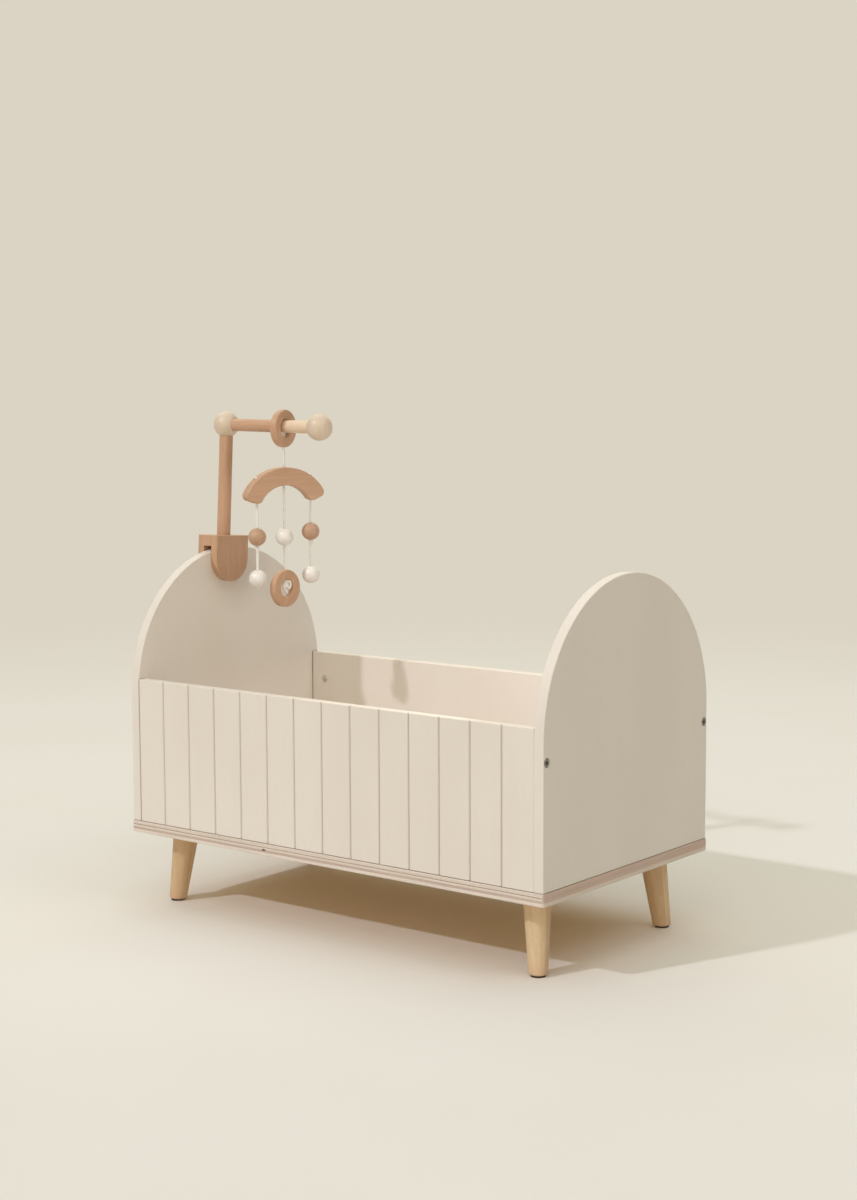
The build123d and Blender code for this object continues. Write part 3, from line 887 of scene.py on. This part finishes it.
# ------------------------------------------------------------------ crib
@dataclass
class Crib:
    """The four panels, the plywood base and the legs."""

    frame: dict
    groove_depth: float = 1.5 * MM
    foot_tint: tuple[float, float, float] = (22.0, 36.0, 0.45)
    first_pith: Pair = (14.0, -11.0)
    pith_step: Pair = (9.0, 8.0)
    legs: list[str] = field(default_factory=lambda: [
        "leg_head_front", "leg_head_back", "leg_foot_front", "leg_foot_back"])

    def dress(self) -> None:
        """Give the crib's CAD nodes their finishes."""
        nodes = self.frame["nodes"]
        for name in ("front_panel", "back_panel"):
            low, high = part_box(name)
            outer = max(abs(low.y), abs(high.y))
            dress(nodes[name], PANEL.material(name, outer - self.groove_depth, low.x))
        for name in ("head_panel", "foot_panel"):
            dress(nodes[name], PANEL.material(name))
        low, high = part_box("base_plate")
        dress(nodes["base_plate"], PLYWOOD.material(low.z, high.z))
        for number, name in enumerate(self.legs):
            pith = nth_pith(number, self.first_pith, self.pith_step)
            down = -long_axis(self.frame, name)
            dress(nodes[name], LEG_WOOD.material(name, middle(name), down, pith, self.foot_tint))
        LOG.info("crib: 4 panels, base and %d legs dressed", len(self.legs))


@dataclass
class Fasteners:
    """Bolts, nuts, screws, inserts, dowels and glides."""

    frame: dict
    head: float = 8.0 * MM
    head_height: float = 2.4 * MM
    head_edge: float = 0.45 * MM
    shank: float = 4.0 * MM
    length: float = 32.0 * MM
    socket: float = 3.0 * MM
    socket_depth: float = 1.6 * MM

    def dress(self) -> None:
        """Give the fasteners that stay as CAD nodes their finishes."""
        nodes = self.frame["nodes"]
        zinc = ZINC.material()
        for name in ("leg_bolts", "leg_inserts", "barrel_nuts", "base_screws"):
            dress(nodes[name], zinc)
        dress(nodes["leg_glides"], GlideFinish().material())
        dowel_wood = LEG_WOOD.material("dowels", Vector((0, 0, 0.12)), Vector((1, 0, 0)))
        dress(nodes["locating_dowels"], dowel_wood)
        LOG.info("fasteners: zinc, nylon and dowels dressed")

    def connector_bolts(self) -> bpy.types.Object:
        """The four connector bolts, with softened heads and hexagon sockets.

        Returns:
            All four, as one piece.
        """
        low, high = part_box("connector_bolts")
        half = self.head / 2
        level = (low.z + high.z) / 2
        spots = [(x, y, level) for x in (low.x, high.x) for y in (low.y + half, high.y - half)]
        mesh = bpy.data.meshes.new("connector_bolt_heads")
        mesh.from_pydata(spots, [], [])
        ways = mesh.attributes.new("way", "FLOAT_VECTOR", "POINT")
        for number, spot in enumerate(spots):
            ways.data[number].vector = (math.copysign(1, spot[0]), 0, 0)
        host = new_object("connector_bolt_heads", mesh)
        bolts = socket_bolt_tree().run(
            host, Head=self.head, Head_Height=self.head_height, Edge=self.head_edge,
            Shank=self.shank, Length=self.length, Socket=self.socket, Socket_Depth=self.socket_depth,
            Finish=DARK_STEEL.material())
        stand_for(bolts, "connector_bolts", "crib")
        LOG.info("connector bolts: %d faces", len(bolts.data.polygons))
        return bolts


# ------------------------------------------------------------------ mobile
@dataclass
class MobileStand:
    """The holder on the head panel, the post, the arm, their two balls, the hanger and the turned rings."""

    frame: dict
    pale_end: tuple[float, float, float] = (18.0, 27.0, 0.8)
    first_pith: Pair = (30.0, 18.0)
    pith_step: Pair = (7.0, -11.0)

    def dress(self) -> None:
        """Give the stand's CAD nodes their finishes."""
        nodes = self.frame["nodes"]
        rods = {name: long_axis(self.frame, name) for name in ("mobile_post", "mobile_arm", "hanger_bar")}
        grains = {"mobile_holder": Vector((0, 0, 1)), **rods,
                  "arm_ring": Vector((0.1, 0.5, 1)).normalized(),
                  "low_ring": Vector((0, 0.6, 1)).normalized()}
        for number, (name, grain) in enumerate(grains.items()):
            pith = nth_pith(number, self.first_pith, self.pith_step)
            tint = self.pale_end if name == "mobile_arm" else None
            dress(nodes[name], BEECH.material(name, middle(name), grain, pith, tint))
        ball_grain = Vector((0.2, 0.1, 1)).normalized()
        for name in ("elbow_ball", "end_ball"):
            dress(nodes[name], MAPLE.material(name, middle(name), ball_grain))
        LOG.info("stand: %d wooden pieces dressed", len(grains) + 2)


@dataclass
class Beads:
    """The drilled wooden beads of the three strings."""

    frame: dict
    bore: float = 1.5 * MM
    rim: float = 0.45 * MM
    recess: float = 2.4 * MM
    recess_depth: float = 3.8 * MM
    arc_steps: int = 40
    grains: dict[str, tuple[float, float, float]] = field(default_factory=lambda: {
        "left": (0.35, -0.2, 1), "right": (0.35, 0.4, 1)})
    piths: dict[str, Pair] = field(default_factory=lambda: {
        "left": (9.0, 6.0), "right": (9.0, -7.0)})

    def profile(self, radius: float, knot_recess: bool) -> list[Pair]:
        """A bead's outline: a half circle from hole to hole with softened rims, then back up the bore.

        Args:
            radius: the bead's radius.
            knot_recess: whether the bead's foot has a recess for the last knot.

        Returns:
            (radius, height) points of the closed outline.
        """
        mouth = self.recess if knot_recess else self.bore
        first = math.asin((self.bore + self.rim) / radius)
        last = math.pi - math.asin((mouth + self.rim) / radius)
        points = [(radius * math.sin(a), radius * math.cos(a))
                  for a in np.linspace(first, last, self.arc_steps)]
        top, foot = points[0][1], points[-1][1]
        points += [(mouth + 0.3 * self.rim, foot + 0.12 * self.rim), (mouth, foot + 0.8 * self.rim)]
        if knot_recess:
            points += [(mouth, foot + self.recess_depth), (self.bore, foot + self.recess_depth)]
        points += [(self.bore, top - 0.8 * self.rim), (self.bore + 0.3 * self.rim, top - 0.12 * self.rim)]
        return points

    def build(self) -> dict[str, bpy.types.Object]:
        """Turn every bead and give it its finish.

        Returns:
            Node name to the piece that stands for it.
        """
        white = LacquerFinish().material()
        made = {}
        strings = {"left": ("brown", "white"), "right": ("brown", "white"), "centre": ("white",)}
        for string, colours in strings.items():
            for colour in colours:
                node = f"{string}_{colour}_bead"
                low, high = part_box(node)
                radius = (high.x - low.x) / 2
                crown = math.sqrt(radius**2 - self.bore**2)
                centre = Vector(((low.x + high.x) / 2, (low.y + high.y) / 2, high.z - crown))
                last = colour == "white" and string != "centre"
                bead = lathe(f"{node}_turned", self.profile(radius, last), centre, Vector((0, 0, 1)))
                finish = white
                if colour == "brown":
                    grain = Vector(self.grains[string]).normalized()
                    finish = BEAD_BEECH.material(node, centre, grain, self.piths[string])
                dress(bead, finish)
                stand_for(bead, node, f"{string}_string")
                made[node] = bead
        LOG.info("beads: %d turned", len(made))
        return made


@dataclass
class Strings:
    """Every cord of the mobile and the knots that hold it."""

    frame: dict
    beads: dict[str, bpy.types.Object]
    cord_radius: float = 1.3 * MM
    lay: float = 7.0 * MM
    steps: int = 56
    into_wood: float = 1.0 * MM
    knot_radius: float = 2.15 * MM
    big_knot_radius: float = 2.5 * MM
    centre_knot_radius: float = 2.6 * MM
    knot_cord: float = 0.8 * MM
    knot_tilt: Pair = (68.0, 8.0)

    def __post_init__(self) -> None:
        """Make the tree and the material that every cord shares."""
        self.tree = twist_tree()
        self.cotton = CottonFinish().material()

    def rope(self, name: str, line: np.ndarray, radius: float, closed: bool = False) -> bpy.types.Object:
        """Twisted strands round a line.

        Args:
            name: the piece's name.
            line: the points that it follows.
            radius: of the whole rope.
            closed: whether its end joins its start.

        Returns:
            The rope.
        """
        total = np.linalg.norm(np.diff(line, axis=0), axis=1).sum()
        lay = self.lay * radius / self.cord_radius
        if closed:
            lay = total / max(1, round(total / lay))
        host = polyline(name, line, closed)
        return self.tree.run(host, Radius=radius, Lay=lay, Finish=self.cotton)

    def knot(self, name: str, centre: Vector, turn: float, radius: float | None = None) -> bpy.types.Object:
        """One tight overhand knot, as a closed three-lobed rope.

        Args:
            name: the piece's name.
            centre: the knot's middle.
            turn: how far it is turned about the upright, in radians.
            radius: of the whole knot.

        Returns:
            The knot.
        """
        reach = ((radius or self.knot_radius) - self.knot_cord) / 3
        t = np.linspace(0, 2 * math.pi, 60, endpoint=False)
        loop = np.stack([reach * (np.sin(t) + 2 * np.sin(2 * t)), reach * (np.cos(t) - 2 * np.cos(2 * t)),
                         -0.95 * self.knot_cord * np.sin(3 * t)], 1)
        spin = Euler((*map(math.radians, self.knot_tilt), turn)).to_matrix()
        line = loop @ np.array(spin).T + np.array(centre)
        return self.rope(name, line, self.knot_cord, closed=True)

    def stub(self, name: str, x: float, y: float, low: float, high: float) -> bpy.types.Object:
        """A short upright piece of cord that is held inside the wood."""
        route = [Vector((x, y, z)) for z in (low, (low + high) / 2, high)]
        return self.rope(name, smooth_line(route), self.cord_radius)

    def free_cord(self, node: str, body: str, route: list[Vector], length: float) -> None:
        """One free cord: its twisted rope, which stands for its CAD node, with its length logged.

        Args:
            node: the CAD node that it stands for.
            body: the body that it rides on.
            route: its control points, from its exit.
            length: its real length.
        """
        line = smooth_line(route, self.steps)
        cord = self.rope(f"{node}_twisted", line, self.cord_radius)
        stand_for(cord, node, body)
        LOG.info("%s: %.1f mm", node, length / MM)

    def finish_knots(self, node: str, body: str, parts: list[bpy.types.Object]) -> bpy.types.Object:
        """Join a node's knots into one piece and place it on its body.

        Args:
            node: the CAD node that they stand for.
            body: the body that they ride on.
            parts: the knots and what goes with them.

        Returns:
            The joined piece.
        """
        piece = join(f"{node}_tied", parts)
        stand_for(piece, node, body)
        return piece

    def anchors(self) -> None:
        """The knots that hold the cords in the top ring and on top of the hanger."""
        for number, (node, body) in enumerate((("ring_knot", "top_ring"), ("left_anchor_knot", "hanger"),
                                               ("right_anchor_knot", "hanger"))):
            low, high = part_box(node)
            x, y = (low.x + high.x) / 2, (low.y + high.y) / 2
            radius = (high.x - low.x) / 2
            centre = Vector((x, y, high.z - radius + 0.2 * MM))
            knot = self.knot("knot", centre, 0.7 + 1.3 * number)
            self.finish_knots(node, body, [knot, self.stub("stub", x, y, low.z, centre.z)])

    def side_string(self, side: str, bow: float) -> None:
        """A side string: its cord and two knots.

        Args:
            side: "left" or "right".
            bow: how far the cord's middle stands out of line.
        """
        low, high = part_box(f"{side}_cord")
        x, y = (low.x + high.x) / 2, (low.y + high.y) / 2
        klow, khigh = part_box(f"{side}_knots")
        radius = (khigh.x - klow.x) / 2
        knots = self.finish_knots(f"{side}_knots", f"{side}_string", [
            self.knot("upper", Vector((x, y, khigh.z - radius)), 0.4 + bow / MM, self.big_knot_radius),
            self.knot("lower", Vector((x, y, klow.z + radius)), 1.9)])
        top = high.z + self.into_wood
        route = [Vector((x, y, top)), Vector((x + bow, y, top + 0.35 * (low.z - top))),
                 Vector((x - 0.6 * bow, y + 0.4 * bow, top + 0.7 * (low.z - top))), Vector((x, y, low.z))]
        self.free_cord(f"{side}_cord", f"{side}_string", route, top - low.z)

    def centre_string(self) -> None:
        """The centre string: cord and knot, with its bunched end in the lower ring."""
        low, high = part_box("centre_cord")
        x, y = (low.x + high.x) / 2, (low.y + high.y) / 2
        top = high.z + self.into_wood
        tied = self.knot("knot", middle("centre_knot"), 2.6, self.centre_knot_radius)
        knot = self.finish_knots("centre_knot", "centre_string", [tied])
        bunch = self.bunch(x, y)
        route = [Vector((x, y, top)), Vector((x, y + 0.3 * MM, 0.5 * (top + low.z))), Vector((x, y, low.z))]
        self.free_cord("centre_cord", "centre_string", route, top - low.z)

    def bunch(self, x: float, y: float) -> bpy.types.Object:
        """The cord's end in the lower ring's hole: a knot, a loop and two loose tails.

        Args:
            x: the middle of the hole across.
            y: the middle of the hole from front to back.

        Returns:
            The bunch, as one piece.
        """
        low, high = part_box("low_ring_knot")
        depth = high.z - low.z
        side = Vector((0.25, 1, 0)).normalized()

        def spot(across: float, out: float, down: float) -> Vector:
            """A point of the bunch, in millimetres across and out, and as a share of its depth down."""
            return Vector((x, y, high.z - down * depth)) + side * across * MM + Vector((out * MM, 0, 0))

        tails = [[spot(0.4, 0.2, 0.14), spot(4.2, 1.2, 0.06), spot(6.0, 1.2, 0.34), spot(4.8, 0.8, 0.72),
                  spot(2.2, 1.2, 0.62), spot(2.6, 0.4, 0.22)],
                 [spot(-0.4, 0, 0.14), spot(-2.6, 0.9, 0.2), spot(-2.6, 1.1, 0.66), spot(0.6, 0.8, 0.9),
                  spot(1.9, 1.1, 1.06)],
                 [spot(0, -0.2, 0.2), spot(-1.4, 0.9, 0.36), spot(0.2, 1.6, 0.6), spot(0.9, 1.5, 0.3)]]
        ropes = [self.rope(f"tail_{n}", smooth_line(points), 0.9 * self.cord_radius)
                 for n, points in enumerate(tails)]
        ropes.append(self.knot("head", spot(0, 0, 0.19), 0.9, self.big_knot_radius))
        return self.finish_knots("low_ring_knot", "centre_string", ropes)

    def suspension(self) -> None:
        """The cord from the top ring to the hanger, and the knot under the hanger's top."""
        low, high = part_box("suspension_cord")
        x, y = (low.x + high.x) / 2, (low.y + high.y) / 2
        top = high.z + self.into_wood
        knot = self.finish_knots("bar_knot", "suspension", [self.knot("knot", middle("bar_knot"), 1.1)])
        route = [Vector((x, y, top)), Vector((x, y, 0.5 * (top + low.z))), Vector((x, y, low.z))]
        self.free_cord("suspension_cord", "suspension", route, top - low.z)

    def build(self) -> None:
        """Make every cord and knot."""
        self.suspension()
        self.anchors()
        self.side_string("left", 0.5 * MM)
        self.side_string("right", 0.25 * MM)
        self.centre_string()


# ------------------------------------------------------------------ studio
def hang_lamp(data: bpy.types.Light, travel: tuple[float, float, float]) -> bpy.types.Object:
    """A lamp's object, turned so that its light goes a given way.

    Args:
        data: the light's own settings.
        travel: the way its light goes.

    Returns:
        The lamp, at the origin.
    """
    lamp = bpy.data.objects.new(data.name, data)
    lamp.rotation_euler = Vector(travel).to_track_quat("-Z", "Y").to_euler()
    bpy.context.scene.collection.objects.link(lamp)
    return lamp


@dataclass(frozen=True)
class Sun:
    """A distant light: the way it travels, its strength, its width in degrees, and its colour."""

    name: str
    travel: tuple[float, float, float]
    strength: float
    width: float
    colour: Colour

    def build(self) -> None:
        """Make the light."""
        data = bpy.data.lights.new(self.name, "SUN")
        data.energy = self.strength
        data.angle = math.radians(self.width)
        data.color = self.colour
        hang_lamp(data, self.travel)


SUNS = (
    Sun("key", (0.293, 0.731, -0.617), 1.05, 2.2, (0.97, 0.985, 1.06)),
    Sun("overhead", (0.0, 0.0, -1.0), 1.60, 90.0, (1.0, 1.0, 0.94)),
    Sun("front", (-0.40, 0.82, -0.38), 1.05, 70.0, (1.0, 0.91, 0.76)),
    Sun("back", (0.5, -0.75, -0.50), 0.56, 70.0, (1.0, 0.86, 0.52)),
    Sun("side", (-0.71, -0.02, -0.70), 0.19, 24.0, (1.0, 0.97, 0.92)),
)


@dataclass
class Studio:
    """A pale floor that melts into its backdrop, the lights and the camera."""

    lens: float = 62.225
    place: tuple[float, float, float] = (1.23392, -1.55461, 0.52599)
    heading: float = 2.23371
    pitch: float = -0.10960
    roll: float = -0.00387
    floor_reach: float = 14.0
    floor_near: Colour = (0.785, 0.765, 0.72)
    floor_far: Colour = (0.765, 0.73, 0.67)
    backdrop: Colour = (0.708, 0.658, 0.552)
    fade: Pair = (0.7, 2.6)
    ambient: float = 0.06
    lamp_place: tuple[float, float, float] = (0.19, -0.03, 0.30)
    lamp_travel: tuple[float, float, float] = (-1.0, 0.18, -0.10)
    lamp_power: float = 0.24
    lamp_size: float = 0.15

    def camera(self) -> None:
        """Make the camera, from its heading, pitch and roll in radians."""
        look = Vector((math.cos(self.pitch) * math.cos(self.heading),
                       math.cos(self.pitch) * math.sin(self.heading), math.sin(self.pitch)))
        right = look.cross(Vector((0, 0, 1))).normalized()
        up = right.cross(look)
        turned_right = math.cos(self.roll) * right + math.sin(self.roll) * up
        turned_up = -math.sin(self.roll) * right + math.cos(self.roll) * up
        data = bpy.data.cameras.new("camera")
        data.lens = self.lens
        data.sensor_width = 36.0
        data.clip_end = 100
        camera = bpy.data.objects.new("camera", data)
        basis = Matrix((turned_right, turned_up, -look)).transposed()
        camera.matrix_world = Matrix.Translation(self.place) @ basis.to_4x4()
        bpy.context.scene.collection.objects.link(camera)
        bpy.context.scene.camera = camera

    def floor(self) -> None:
        """Make the round floor, which melts into the background's colour far away."""
        build = bmesh.new()
        bmesh.ops.create_circle(build, cap_ends=True, segments=96, radius=self.floor_reach)
        mesh = bpy.data.meshes.new("floor")
        build.to_mesh(mesh)
        build.free()
        floor = new_object("floor", mesh)
        g = Graph("pale_floor")
        point = g.object_point()
        away = g.add("VectorMath", {0: point}, operation="LENGTH").outputs["Value"]
        cloud = g.noise(point, 3.0, 2.0)
        g.set(Base_Color=g.mix(g.between(cloud, 0.3, 0.8, 0.0, 0.5), self.floor_near, self.floor_far),
              Roughness=0.85, Specular_IOR_Level=0.1)
        glow = g.add("Emission", {"Color": (*self.backdrop, 1), "Strength": 1.0})
        blend = g.add("MixShader", {0: g.between(away, self.fade[0], self.fade[1]), 1: g.shader.outputs[0],
                                    2: glow.outputs[0]})
        ending = next(n for n in g.tree.nodes if n.type == "OUTPUT_MATERIAL")
        g.tree.links.new(blend.outputs[0], ending.inputs["Surface"])
        dress(floor, g.material)

    def inside_lamp(self) -> None:
        """Make a broad lamp that lights the crib's inside; the camera doesn't see the lamp itself."""
        data = bpy.data.lights.new("inside", "AREA")
        data.energy = self.lamp_power
        data.size = self.lamp_size
        lamp = hang_lamp(data, self.lamp_travel)
        lamp.location = self.lamp_place
        lamp.visible_camera = False

    def world(self) -> None:
        """Make the backdrop that is seen all round, and its weaker even light."""
        world = bpy.data.worlds.new("studio")
        world.use_nodes = True
        sky = NodeTree(world.node_tree)
        path = sky.add("ShaderNodeLightPath").outputs
        seen = sky.calc("MAXIMUM", path["Is Camera Ray"], path["Is Glossy Ray"])
        strength = sky.add("ShaderNodeMapRange", {"Value": seen, "To Min": self.ambient})
        back = sky.tree.nodes["Background"]
        back.inputs["Color"].default_value = (*self.backdrop, 1)
        sky.tree.links.new(strength.outputs["Result"], back.inputs["Strength"])
        bpy.context.scene.world = world

    def build(self) -> None:
        """Make the floor, the lights and the camera."""
        self.camera()
        self.floor()
        for sun in SUNS:
            sun.build()
        self.inside_lamp()
        self.world()
        view = bpy.context.scene.view_settings
        view.view_transform = "Standard"
        view.look = "None"
        LOG.info("studio: floor, %d lights and the camera", len(SUNS) + 1)


def main() -> None:
    """Load the frame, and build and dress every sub-assembly."""
    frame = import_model()
    Studio().build()
    beads = Beads(frame).build()
    Strings(frame, beads).build()
    Crib(frame).dress()
    fasteners = Fasteners(frame)
    fasteners.dress()
    fasteners.connector_bolts()
    MobileStand(frame).dress()


if __name__ == "__main__":
    main()
